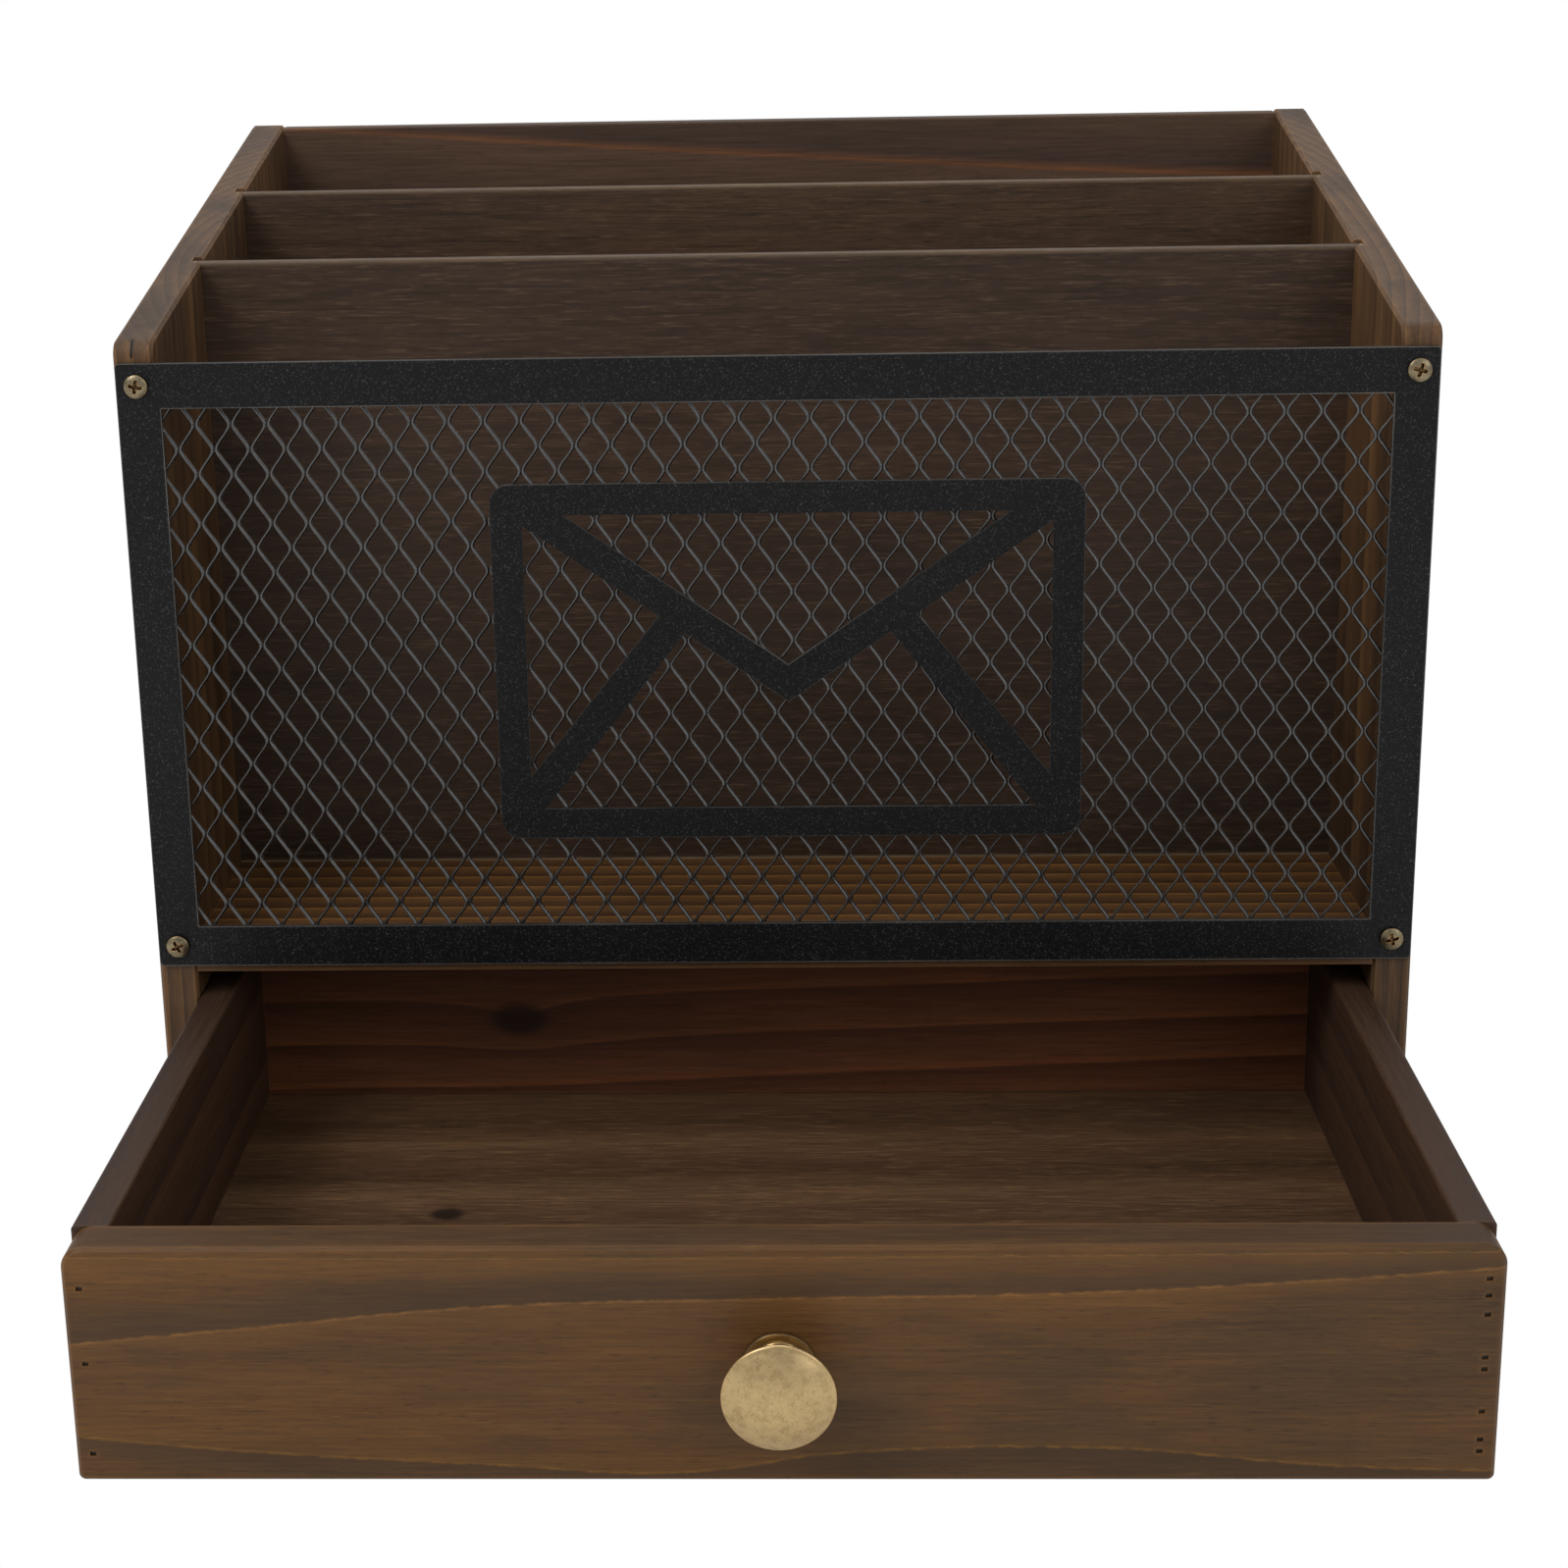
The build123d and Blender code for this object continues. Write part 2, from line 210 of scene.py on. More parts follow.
def stainedWood(name, look):
    material, tree = newMaterial(name)
    place = objectPlace(tree)
    apart = separated(tree, place)
    order = {"X": (0, 2, 1), "Y": (1, 2, 0), "Z": (2, 0, 1)}[look["grain"]]
    grainAxes = [apart[i] for i in order]
    drawnOut = combined(tree, maths(tree, "MULTIPLY", grainAxes[0], look["bendAlong"]), *grainAxes[1:])
    knots = [(knot, knotDistance(tree, place, knot)) for knot in look.get("knots", [])]
    colour = ringColour(tree, look, grainAxes, drawnOut, knots)

    seed = look["seed"]
    fine = streaks(tree, grainAxes, "fibres", seed + 1)
    coarse = streaks(tree, grainAxes, "bands", seed + 2)
    band = remapped(tree, coarse, *woodTexture["bandSpan"], 1 - look["band"], 1 + look["band"])
    pores = streaks(tree, grainAxes, "pores", seed + 5)
    pore = remapped(tree, pores, *woodTexture["poreSpan"], 1.0, 1 - look["pore"])
    # Painted shade: faces turned upwards are darkened by the look's top share; on the upright side panels
    # this is also the end grain's real deeper stain
    upright = separated(tree, addNode(tree, "ShaderNodeNewGeometry").outputs["True Normal"])[2]
    paintedTopShade = remapped(tree, upright, *woodTexture["paintedTopShadeSpan"], 1.0, look.get("top", 1.0))  # tops: painted shade, and more stain on the side panels' end grain
    shade = remapped(tree, fine, *woodTexture["fibreSpan"], 1 - look["fibre"], 1 + look["fibre"])
    for factor in (band, pore, paintedTopShade):
        shade = maths(tree, "MULTIPLY", shade, factor)

    patches = noise(tree, drawnOut, look["patchScale"], 3.0, roughness=0.55, seed=seed + 3)
    patch = remapped(tree, patches, *woodTexture["patchSpan"], 0.0, look["patch"], smooth=True)
    colour = overlaid(tree, patch, colour, look["patchColour"])  # torched
    colour = scaled(tree, colour, shade)
    flecks = streaks(tree, grainAxes, "flecks", seed + 4)
    fleck = remapped(tree, flecks, *woodTexture["fleckSpan"], 0.0, look["fleck"])
    colour = overlaid(tree, fleck, colour, look["fleckColour"])  # where the stain didn't take
    for knot, distance in knots:
        heart = remapped(tree, distance, *woodTexture["heartSpan"], 0.0, knot["depth"], smooth=True)
        colour = overlaid(tree, heart, colour, knot["colour"])
    for drawLine in look.get("lines", []):
        colour = drawLine(tree, apart, colour)
    rubbed = maths(tree, "MULTIPLY", wornEdge(tree, woodTexture["arris"]), look["edge"])
    colour = overlaid(tree, maths(tree, "MULTIPLY", rubbed, band), colour, look["edgeColour"])

    rough = remapped(tree, fine, *usualSpan, look["roughness"] - woodTexture["glossier"],
                     look["roughness"] + woodTexture["duller"])
    relief = maths(tree, "MULTIPLY_ADD", fine, 0.6, coarse)
    finishMaterial(tree, addNode(tree, "ShaderNodeBsdfPrincipled", links={
        "Base Color": colour, "Roughness": rough, "Normal": bumped(tree, relief, 0.55, look["relief"]),
        "IOR": 1.5, "Specular IOR Level": look.get("sheen", 0.25)}))
    return material


# Lines drawn on the wood: long growth rings on the drawer front, and a crack in a panel's corner

lineTexture = {
    "waver": 0.75, "waverPerMetre": 55.0,  # how far a line strays, in mm, and how often
    "fadePerMetre": 38.0, "fadeSpan": (0.35, 0.65), "faintest": 0.12, "strongest": 0.5,
    "shadow": 0.55, "glowWidth": 6.5,  # the stain's share beyond a line; the light's reach inside it, in mm
    "core": 0.1,  # the part of a line's half width that has its full colour
}


def growthLine(heights, width, lineColour, shadeColour, shadeSide, shadeWidth, glow=0.1):
    def draw(tree, apart, colour):
        low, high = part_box("drawer_front")
        share = remapped(tree, apart[0], low.x, high.x)
        curve = addNode(tree, "ShaderNodeFloatCurve", links={"Value": share})
        points = curve.mapping.curves[0].points
        while len(points) < len(heights):
            points.new(0.5, 0.5)
        for point, spot in zip(points, heights):
            point.location = spot
        curve.mapping.update()
        height = remapped(tree, curve.outputs[0], 0.0, 1.0, low.z, high.z)
        waver = lineNoise(tree, apart[0], lineTexture["waverPerMetre"], 0.0, 4.0, 0.6)
        uneven = maths(tree, "MULTIPLY_ADD", waver, lineTexture["waver"] * millimetre, height)
        above = maths(tree, "SUBTRACT", apart[2], uneven)
        outside = maths(tree, "MULTIPLY", above, shadeSide)

        beyond = maths(tree, "GREATER_THAN", outside, 0.0)
        shadow = remapped(tree, outside, shadeWidth * millimetre, 0.0, 0.0, lineTexture["shadow"],
                          smooth=True)
        colour = overlaid(tree, maths(tree, "MULTIPLY", shadow, beyond), colour, shadeColour)
        inner = maths(tree, "LESS_THAN", outside, 0.0)
        reach = lineTexture["glowWidth"] * millimetre
        shine = remapped(tree, outside, -reach, 0.0, 0.0, glow, smooth=True)
        colour = overlaid(tree, maths(tree, "MULTIPLY", shine, inner), colour, lineColour)
        fading = lineNoise(tree, apart[0], lineTexture["fadePerMetre"], 5.0, 3.0)
        strength = remapped(tree, fading, *lineTexture["fadeSpan"], lineTexture["faintest"],
                            lineTexture["strongest"])
        thin = remapped(tree, maths(tree, "ABSOLUTE", above), width * millimetre,
                        width * lineTexture["core"] * millimetre, 0.0, strength, smooth=True)
        return overlaid(tree, thin, colour, lineColour)
    return draw


cornerCrack = {"centre": -160.2, "half": 0.45, "low": 236.3, "depth": 3.0, "colour": "0d0806"}  # mm


def darkSlit(look):  # a short open crack at a board's top front corner
    def draw(tree, apart, colour):
        away = maths(tree, "ABSOLUTE", maths(tree, "SUBTRACT", apart[0], look["centre"] * millimetre))
        narrow = remapped(tree, away, look["half"] * millimetre, look["half"] * 0.5 * millimetre)
        high = maths(tree, "GREATER_THAN", apart[2], look["low"] * millimetre)
        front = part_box("left_side_panel")[0].y
        near = maths(tree, "LESS_THAN", apart[1], front + look["depth"] * millimetre)
        share = maths(tree, "MULTIPLY", maths(tree, "MULTIPLY", high, near), narrow)
        return overlaid(tree, share, colour, look["colour"])
    return draw


drawerFrontLook = {  # flat-sawn pine, torched and stained: wide growth lines, fine short fibres
    "grain": "X", "seed": 4.0, "pith": (36, -400), "ringPitch": 23.0,
    "ringStops": [(0.0, "65421c"), (0.35, "5d3d1a"), (0.7, "53371a"), (1.0, "61401d")],
    "bend": 0.010, "bendAlong": 0.35, "bendScale": 9.0,
    "fibre": 0.26, "band": 0.13, "pore": 0.36, "patch": 0.72, "patchScale": 15.0, "patchColour": "37291b",
    "fleck": 0.2, "fleckColour": "7c5c30", "edge": 0.45, "edgeColour": "74502a",
    "roughness": 0.52, "relief": 0.14, "top": 0.62, "sheen": 0.25,
    "lines": [
        growthLine([(0.0, 0.585), (0.12, 0.65), (0.3, 0.745), (0.5, 0.775), (0.72, 0.80),
                    (0.88, 0.85), (1.0, 0.90)],
                   0.55, "8f622f", "34271b", 1.0, 13.0),
        growthLine([(0.0, 0.19), (0.12, 0.125), (0.3, 0.065), (0.42, 0.03), (0.55, 0.12), (0.72, 0.14),
                    (0.88, 0.065), (1.0, 0.04)],
                   0.55, "80581f", "3a2a1b", -1.0, 8.0),
        growthLine([(0.0, 0.955), (0.3, 0.945), (0.6, 0.95), (1.0, 0.965)],
                   0.3, "80592b", "57401f", 1.0, 1.0, glow=0.18),
    ],
    "knots": [{"at": (-36, -232, 5), "squeeze": (0.4, 0.05, 1.0), "radius": 5.0, "push": 2.0, "depth": 0.5,
               "colour": "30271e"}],
}

sidePanelLook = {  # upright grain; the sloping top shows end grain
    "grain": "Z", "seed": 11.0, "pith": (-60, -30), "ringPitch": 3.4,
    "ringStops": [(0.0, "66492c"), (0.4, "5c4128"), (0.8, "523a24"), (0.95, "44301e"), (1.0, "64472b")],
    "bend": 0.010, "bendAlong": 0.25, "bendScale": 11.0,
    "fibre": 0.26, "band": 0.2, "pore": 0.3, "patch": 0.65, "patchScale": 26.0, "patchColour": "2c2018",
    "fleck": 0.25, "fleckColour": "7c6142", "edge": 0.6, "edgeColour": "7a5732",
    "roughness": 0.55, "relief": 0.16, "top": 0.75, "lines": [darkSlit(cornerCrack)],
}

backPanelLook = {  # long sloping reddish lines on a dark board
    "grain": "X", "seed": 23.0, "pith": (420, -60), "ringPitch": 21.0, "slope": -0.045,
    "ringStops": [(0.0, "77482a"), (0.05, "574030"), (0.5, "4e3a2b"), (0.92, "44322a"), (1.0, "66432b")],
    "bend": 0.032, "bendAlong": 0.3, "bendScale": 6.0,
    "fibre": 0.2, "band": 0.16, "pore": 0.25, "patch": 0.5, "patchScale": 12.0, "patchColour": "35271d",
    "fleck": 0.2, "fleckColour": "6b5440", "edge": 0.5, "edgeColour": "6b4c2c",
    "roughness": 0.55, "relief": 0.14, "top": 0.8,
}

shelfLook = {  # golden parallel lines
    "grain": "X", "seed": 31.0, "pith": (40, 300), "ringPitch": 7.5,
    "ringStops": [(0.0, "8f602f"), (0.12, "664624"), (0.6, "54381f"), (0.95, "3f2a17"), (1.0, "80572c")],
    "bend": 0.012, "bendAlong": 0.2, "bendScale": 8.0,
    "fibre": 0.2, "band": 0.15, "pore": 0.3, "patch": 0.5, "patchScale": 10.0, "patchColour": "35251b",
    "fleck": 0.2, "fleckColour": "86653c", "edge": 0.4, "edgeColour": "6b4c2c",
    "roughness": 0.55, "relief": 0.14,
}

drawerSideLook = {  # darker stain, grain front to back
    "grain": "Y", "seed": 43.0, "pith": (200, 40), "ringPitch": 14.0,
    "ringStops": [(0.0, "47301f"), (0.3, "402b1d"), (0.7, "3b281b"), (0.95, "35231a"), (1.0, "44301f")],
    "bend": 0.010, "bendAlong": 0.25, "bendScale": 10.0,
    "fibre": 0.18, "band": 0.1, "pore": 0.25, "patch": 0.6, "patchScale": 14.0, "patchColour": "30251f",
    "fleck": 0.15, "fleckColour": "68513c", "edge": 0.35, "edgeColour": "5c4734",
    "roughness": 0.55, "relief": 0.14, "top": 0.8,
}

drawerBackLook = {  # dark red-brown, with one knot
    "grain": "X", "seed": 52.0, "pith": (-160, 60), "ringPitch": 11.0, "slope": -0.02,
    "ringStops": [(0.0, "7a4829"), (0.15, "693f26"), (0.6, "603822"), (0.95, "4c2c1b"), (1.0, "744326")],
    "bend": 0.014, "bendAlong": 0.25, "bendScale": 9.0,
    "fibre": 0.2, "band": 0.16, "pore": 0.3, "patch": 0.5, "patchScale": 12.0, "patchColour": "3a251a",
    "fleck": 0.1, "fleckColour": "6b4f38", "edge": 0.35, "edgeColour": "5c402a",
    "roughness": 0.5, "relief": 0.14,
    "knots": [{"at": (-74, -59, 42), "squeeze": (0.6, 0.05, 1.0), "radius": 6.0, "push": 5.0, "depth": 0.8,
               "colour": "1d130d"}],
}

dividerLook = {  # rotary-cut plywood: short light flecks on a dark stain
    "grain": "X", "seed": 61.0, "pith": (160, 900), "ringPitch": 34.0,
    "ringStops": [(0.0, "4b3521"), (0.3, "3f2c1e"), (0.6, "38281c"), (0.9, "412e1f"), (1.0, "4b3521")],
    "bend": 0.030, "bendAlong": 0.35, "bendScale": 7.0,
    "fibre": 0.32, "band": 0.2, "pore": 0.45, "patch": 0.55, "patchScale": 9.0, "patchColour": "291e18",
    "fleck": 0.5, "fleckColour": "6f5844", "edge": 0.9, "edgeColour": "a58c6c",
    "roughness": 0.55, "relief": 0.2, "sheen": 0.3,
}

drawerFloorLook = {  # the same plywood, with a sheen and one small knot
    "grain": "X", "seed": 77.0, "pith": (-60, 900), "ringPitch": 30.0,
    "ringStops": [(0.0, "604630"), (0.3, "533b29"), (0.6, "4a3524"), (0.9, "573f2b"), (1.0, "604630")],
    "bend": 0.026, "bendAlong": 0.3, "bendScale": 7.0,
    "fibre": 0.3, "band": 0.18, "pore": 0.45, "patch": 0.5, "patchScale": 9.0, "patchColour": "36281f",
    "fleck": 0.5, "fleckColour": "8a6d4c", "edge": 0.4, "edgeColour": "6a503a",
    "roughness": 0.4, "relief": 0.2, "sheen": 0.45,
    "knots": [{"at": (-86, -130, 19), "squeeze": (0.7, 1.0, 0.05), "radius": 4.0, "push": 4.0, "depth": 0.85,
               "colour": "170f0a"}],
}

coat(stainedWood("torchedPineDrawerFront", drawerFrontLook), "drawer_front")
coat(stainedWood("torchedPineUpright", sidePanelLook), "left_side_panel", "right_side_panel")
coat(stainedWood("torchedPineBack", backPanelLook), "back_panel")
coat(stainedWood("torchedPineShelf", shelfLook), "sorter_floor", "case_bottom")
coat(stainedWood("torchedPineDrawerSide", drawerSideLook), "drawer_left_side", "drawer_right_side")
coat(stainedWood("torchedPineDrawerBack", drawerBackLook), "drawer_back")
coat(stainedWood("stainedPlywoodDivider", dividerLook), "front_divider", "rear_divider")
coat(stainedWood("stainedPlywoodFloor", drawerFloorLook), "drawer_floor")
print("wood done")


# Black powder coat: matte, with the faint grit of fused powder, and pale edges that are partly rubbed bare
# metal, partly a painted highlight

powderLook = {
    "colour": "0a0a0b", "roughness": 0.5, "swing": 0.06, "gloss": 0.2,
    "gritPerMetre": 2600.0, "gritColour": "6a6c72",  # coarser than real powder's, so that it shows
    "gritSpan": (0.58, 0.76), "grit": 0.36, "cloudPerMetre": 26.0, "edgeColour": "8a8680", "edgeWidth": 0.5,
}


def powderCoat(name, look, wearAndHighlightShare):
    material, tree = newMaterial(name)
    place = objectPlace(tree)
    grit = noise(tree, place, look["gritPerMetre"], 2.0)
    cloud = noise(tree, place, look["cloudPerMetre"], 3.0)
    speck = remapped(tree, grit, *look["gritSpan"], 0.0, look["grit"])
    colour = overlaid(tree, speck, linearColour(look["colour"]), look["gritColour"])
    # pale edges: partly rubbed bare metal, partly a painted highlight
    rubbedAndLitEdge = maths(tree, "MULTIPLY", wornEdge(tree, look["edgeWidth"]), wearAndHighlightShare)
    colour = overlaid(tree, maths(tree, "MULTIPLY", rubbedAndLitEdge, cloud), colour, look["edgeColour"])
    rough = remapped(tree, cloud, *usualSpan, look["roughness"] - look["swing"],
                     look["roughness"] + look["swing"])
    finishMaterial(tree, addNode(tree, "ShaderNodeBsdfPrincipled", links={
        "Base Color": colour, "Roughness": rough, "Normal": bumped(tree, grit, 0.5, 0.08), "IOR": 1.5,
        "Specular IOR Level": look["gloss"]}))
    return material


# the frame's pale edges are strongest: partly rubbed bare metal, partly a painted highlight where its top
# edge catches the light
coat(powderCoat("powderCoatedSteel", powderLook, 1.2), "front_frame")
strandLook = {**powderLook, "colour": "101012", "roughness": 0.22, "gloss": 1.0}  # catches the light
strandPowder = powderCoat("powderCoatedStrand", strandLook, 0.3)


# Antiqued metals: brass with dark toning in its scratches, wiped back on the high parts, and painted shade
# towards the back of the knob and in the screws' recesses

brassLook = {
    "bright": "c2a97c", "dark": "a08860", "rim": "c99a68", "rimShare": 0.8, "rimWidth": 0.5,
    "mottlePerMetre": 420.0, "scratchPerMetre": 2600.0, "cloudPerMetre": 110.0, "toneSpan": (0.38, 0.72),
    "roughness": 0.33, "darkening": 0.0,
    "paintedShadeFrom": -243.0, "paintedShadeTo": -235.0, "paintedShade": 0.35, "paintedShadeColour": "1c1610",  # mm along Y: painted shade, darkest towards the drawer front under the knob's cap
}
# the screws' painted shade darkens the cross recess and the rim of each head
screwLook = {**brassLook, "bright": "8a8068", "dark": "665c49", "darkening": 0.05,
             "paintedShadeFrom": -96.95, "paintedShadeTo": -96.55, "paintedShade": 0.92}


def antiqueBrass(name, look):
    material, tree = newMaterial(name)
    place = objectPlace(tree)
    mottle = noise(tree, place, look["mottlePerMetre"], 4.0, roughness=0.65)
    leaning = addNode(tree, "ShaderNodeMapping", links={
        0: place, "Rotation": (0.4, 0.7, 0.5), "Scale": (1.0, 1.0, 0.55)}).outputs[0]
    scratch = noise(tree, leaning, look["scratchPerMetre"], 4.0, distortion=1.2)
    cloud = noise(tree, place, look["cloudPerMetre"], 2.0)
    tone = maths(tree, "MULTIPLY_ADD", mottle, 0.9, -0.45 + look["darkening"])
    tone = maths(tree, "MULTIPLY_ADD", scratch, 0.9, tone)
    toned = remapped(tree, tone, *look["toneSpan"])
    colour = overlaid(tree, toned, linearColour(look["bright"]), look["dark"])
    # painted shade: darker along Y towards the back of the part
    depth = remapped(tree, separated(tree, place)[1], look["paintedShadeFrom"] * millimetre,
                     look["paintedShadeTo"] * millimetre, 0.0, look["paintedShade"])
    colour = overlaid(tree, depth, colour, look["paintedShadeColour"])
    rim = maths(tree, "MULTIPLY", wornEdge(tree, look["rimWidth"]), look["rimShare"])
    colour = overlaid(tree, rim, colour, look["rim"])
    rough = remapped(tree, cloud, *usualSpan, look["roughness"] - 0.05, look["roughness"] + 0.12)
    finishMaterial(tree, addNode(tree, "ShaderNodeBsdfPrincipled", links={
        "Base Color": colour, "Metallic": 1.0, "Roughness": rough,
        "Normal": bumped(tree, scratch, 0.35, 0.05)}))
    return material


brass = antiqueBrass("antiquedBrassCast", brassLook)
coat(brass, "drawer_knob")
screwBrass = antiqueBrass("antiquedBrassPlatedSteel", screwLook)
coat(screwBrass, "frame_screws")


def drawnSteel(name, hexCode, roughness):  # wire drawn through a die: grey, mottled and dulled by stain
    material, tree = newMaterial(name)
    mottle = noise(tree, objectPlace(tree), 900.0, 3.0)
    colour = overlaid(tree, mottle, linearColour(hexCode), "2b2622")
    finishMaterial(tree, addNode(tree, "ShaderNodeBsdfPrincipled", links={
        "Base Color": colour, "Metallic": 1.0, "Roughness": roughness}))
    return material


coat(drawnSteel("drawnSteelBrad", "57504a", 0.5), "left_side_brads", "right_side_brads", "back_brads",
     "drawer_front_brads", "drawer_back_brads")
coat(drawnSteel("zincPlatedSteel", "a9a7a2", 0.38), "knob_screw")
print("metals done")


# Geometry trees: what both of them share

def newGeometryTree(name, floats, integers):  # an empty tree with named inputs
    tree = bpy.data.node_groups.new(name, "GeometryNodeTree")
    tree.interface.new_socket("Geometry", in_out="OUTPUT", socket_type="NodeSocketGeometry")
    for labels, kind in ((floats, "NodeSocketFloat"), (integers, "NodeSocketInt")):
        for label in labels:
            tree.interface.new_socket(label, in_out="INPUT", socket_type=kind)
    return tree, addNode(tree, "NodeGroupInput").outputs


def finishGeometryTree(tree, geometry, material):
    real = addNode(tree, "GeometryNodeRealizeInstances", links={0: geometry})
    painted = addNode(tree, "GeometryNodeSetMaterial", links={
        "Geometry": real.outputs[0], "Material": material})
    addNode(tree, "NodeGroupOutput", links={0: painted.outputs[0]})


def joinGeometry(tree, parts):
    joined = addNode(tree, "GeometryNodeJoinGeometry")
    for part in parts:
        tree.links.new(part.outputs[0], joined.inputs[0])
    return joined.outputs[0]


def newPiece(name, mesh):
    piece = bpy.data.objects.new(name, mesh)
    bpy.context.scene.collection.objects.link(piece)
    return piece


def meshFrom(holder):  # the evaluated mesh of a helper object, which is then removed
    graph = bpy.context.evaluated_depsgraph_get()
    mesh = bpy.data.meshes.new_from_object(holder.evaluated_get(graph))
    bpy.data.objects.remove(holder)
    return mesh


def smooth(mesh, degrees):  # smooth shading, sharp at edges above this angle
    for face in mesh.polygons:
        face.use_smooth = True
    mesh.set_sharp_from_angle(angle=math.radians(degrees))


def runTree(name, tree, values, place, smoothTo):  # runs a tree once and keeps the result as a plain mesh
    holder = newPiece(name + "Maker", bpy.data.meshes.new(name + "Maker"))
    modifier = holder.modifiers.new("tree", "NODES")
    modifier.node_group = tree
    sockets = {item.name: item.identifier for item in tree.interface.items_tree if item.in_out == "INPUT"}
    for label, value in values.items():
        modifier[sockets[label]] = value
    mesh = meshFrom(holder)
    mesh.name = name
    work = bmesh.new()
    work.from_mesh(mesh)
    bmesh.ops.holes_fill(work, edges=[edge for edge in work.edges if edge.is_boundary], sides=0)
    bmesh.ops.recalc_face_normals(work, faces=work.faces)
    bmesh.ops.translate(work, verts=work.verts, vec=place)
    work.to_mesh(mesh)
    work.free()
    smooth(mesh, smoothTo)
    return newPiece(name, mesh)


# Expanded mesh: upright zigzag strands, each a flat ribbon swept down a wavy line and leaned like a louvre

meshScreen = {
    "pitchAcross": 9.06, "pitchUp": 12.82,  # mm between like gaps
    "strandWidth": 1.05, "strandThickness": 0.5,
    "lean": 40.0, "leanSwing": 10.0,  # degrees: a strand's lean, and how much that changes with its slope
    "bond": 1.16, "ease": 0.14,  # how long neighbouring strands touch, and how softly they turn there
    "slopeHold": 1.8, "stepsPerPitch": 14, "smoothTo": 120,
}


def meshStrandTree(material):
    tree, given = newGeometryTree("expandedMesh", [
        "Width", "Height", "Pitch Across", "Pitch Up", "Strand Width", "Strand Thickness", "Lean",
        "Lean Swing", "Slope Hold", "Bond", "Ease"], ["Steps", "Strands"])
    calc, combine = partial(maths, tree), partial(combined, tree)

    # a tube of four sides, unrolled: x counts the corners, y runs along the strand
    grid = addNode(tree, "GeometryNodeMeshGrid", links={
        "Size X": 4.0, "Size Y": given["Height"], "Vertices X": 5, "Vertices Y": given["Steps"]})
    corner, height = separated(tree, addNode(tree, "GeometryNodeInputPosition").outputs[0])[:2]
    turn = calc("MULTIPLY_ADD", corner, math.pi / 2, math.pi / 4)
    wide = calc("MULTIPLY", calc("COSINE", turn), given["Strand Width"])
    thick = calc("MULTIPLY", calc("SINE", turn), given["Strand Thickness"])
    section = scaled(tree, combine(wide, thick), math.sqrt(0.5))

    # triangle waves along the strand: one for its sideways swing, one a quarter later for its slope
    beat = calc("DIVIDE", height, given["Pitch Up"])
    wave = calc("MULTIPLY_ADD", calc("PINGPONG", beat, 0.5), 4.0, -1.0)
    slope = calc("MULTIPLY_ADD", calc("PINGPONG", calc("ADD", beat, 0.25), 0.5), 4.0, -1.0)
    held = clamped(tree, calc("MULTIPLY", wave, given["Bond"]), -1.0, 1.0)
    softened = calc("MULTIPLY_ADD", calc("MULTIPLY", held, held), calc("MULTIPLY", given["Ease"], -1.0),
                    calc("ADD", given["Ease"], 1.0))
    eased = calc("MULTIPLY", held, softened)
    sided = clamped(tree, calc("MULTIPLY", slope, given["Slope Hold"]), -1.0, 1.0)

    halfWidth = calc("MULTIPLY", given["Strand Width"], 0.5)
    halfAcross = calc("MULTIPLY", halfWidth, calc("COSINE", given["Lean"]))
    halfDeep = calc("MULTIPLY", halfWidth, calc("SINE", given["Lean"]))
    swing = calc("SUBTRACT", calc("MULTIPLY", given["Pitch Across"], 0.25), halfAcross)

    rows = []
    for sign in (1.0, -1.0):  # neighbouring strands swing opposite ways
        side = calc("MULTIPLY", eased, sign)
        offset = combine(calc("MULTIPLY", side, swing),
                         calc("MULTIPLY", calc("MULTIPLY", side, halfDeep), -1.0), height)
        leaned = addNode(tree, "ShaderNodeVectorRotate", {"rotation_type": "Z_AXIS"}, {
            "Vector": section,
            "Angle": calc("MULTIPLY_ADD", calc("MULTIPLY", sided, sign), given["Lean Swing"], given["Lean"])})
        strand = addNode(tree, "GeometryNodeSetPosition", links={
            "Geometry": grid.outputs[0],
            "Position": vectorMaths(tree, "ADD", leaned.outputs[0], offset)})
        closed = addNode(tree, "GeometryNodeMergeByDistance", links={0: strand.outputs[0], "Distance": 1e-5})
        first = calc("MULTIPLY_ADD", given["Pitch Across"], 0.25 if sign > 0 else 0.75,
                     calc("MULTIPLY", given["Width"], -0.5))
        row = addNode(tree, "GeometryNodeMeshLine", {"mode": "OFFSET"}, {
            "Count": given["Strands"], "Start Location": combine(first),
            "Offset": combine(given["Pitch Across"])})
        across = separated(tree, addNode(tree, "GeometryNodeInputPosition").outputs[0])[0]
        inside = calc("LESS_THAN", across, calc("MULTIPLY", given["Width"], 0.5))
        rows.append(addNode(tree, "GeometryNodeInstanceOnPoints", links={
            "Points": row.outputs[0], "Selection": inside, "Instance": closed.outputs[0]}))
    finishGeometryTree(tree, joinGeometry(tree, rows), material)
    return tree


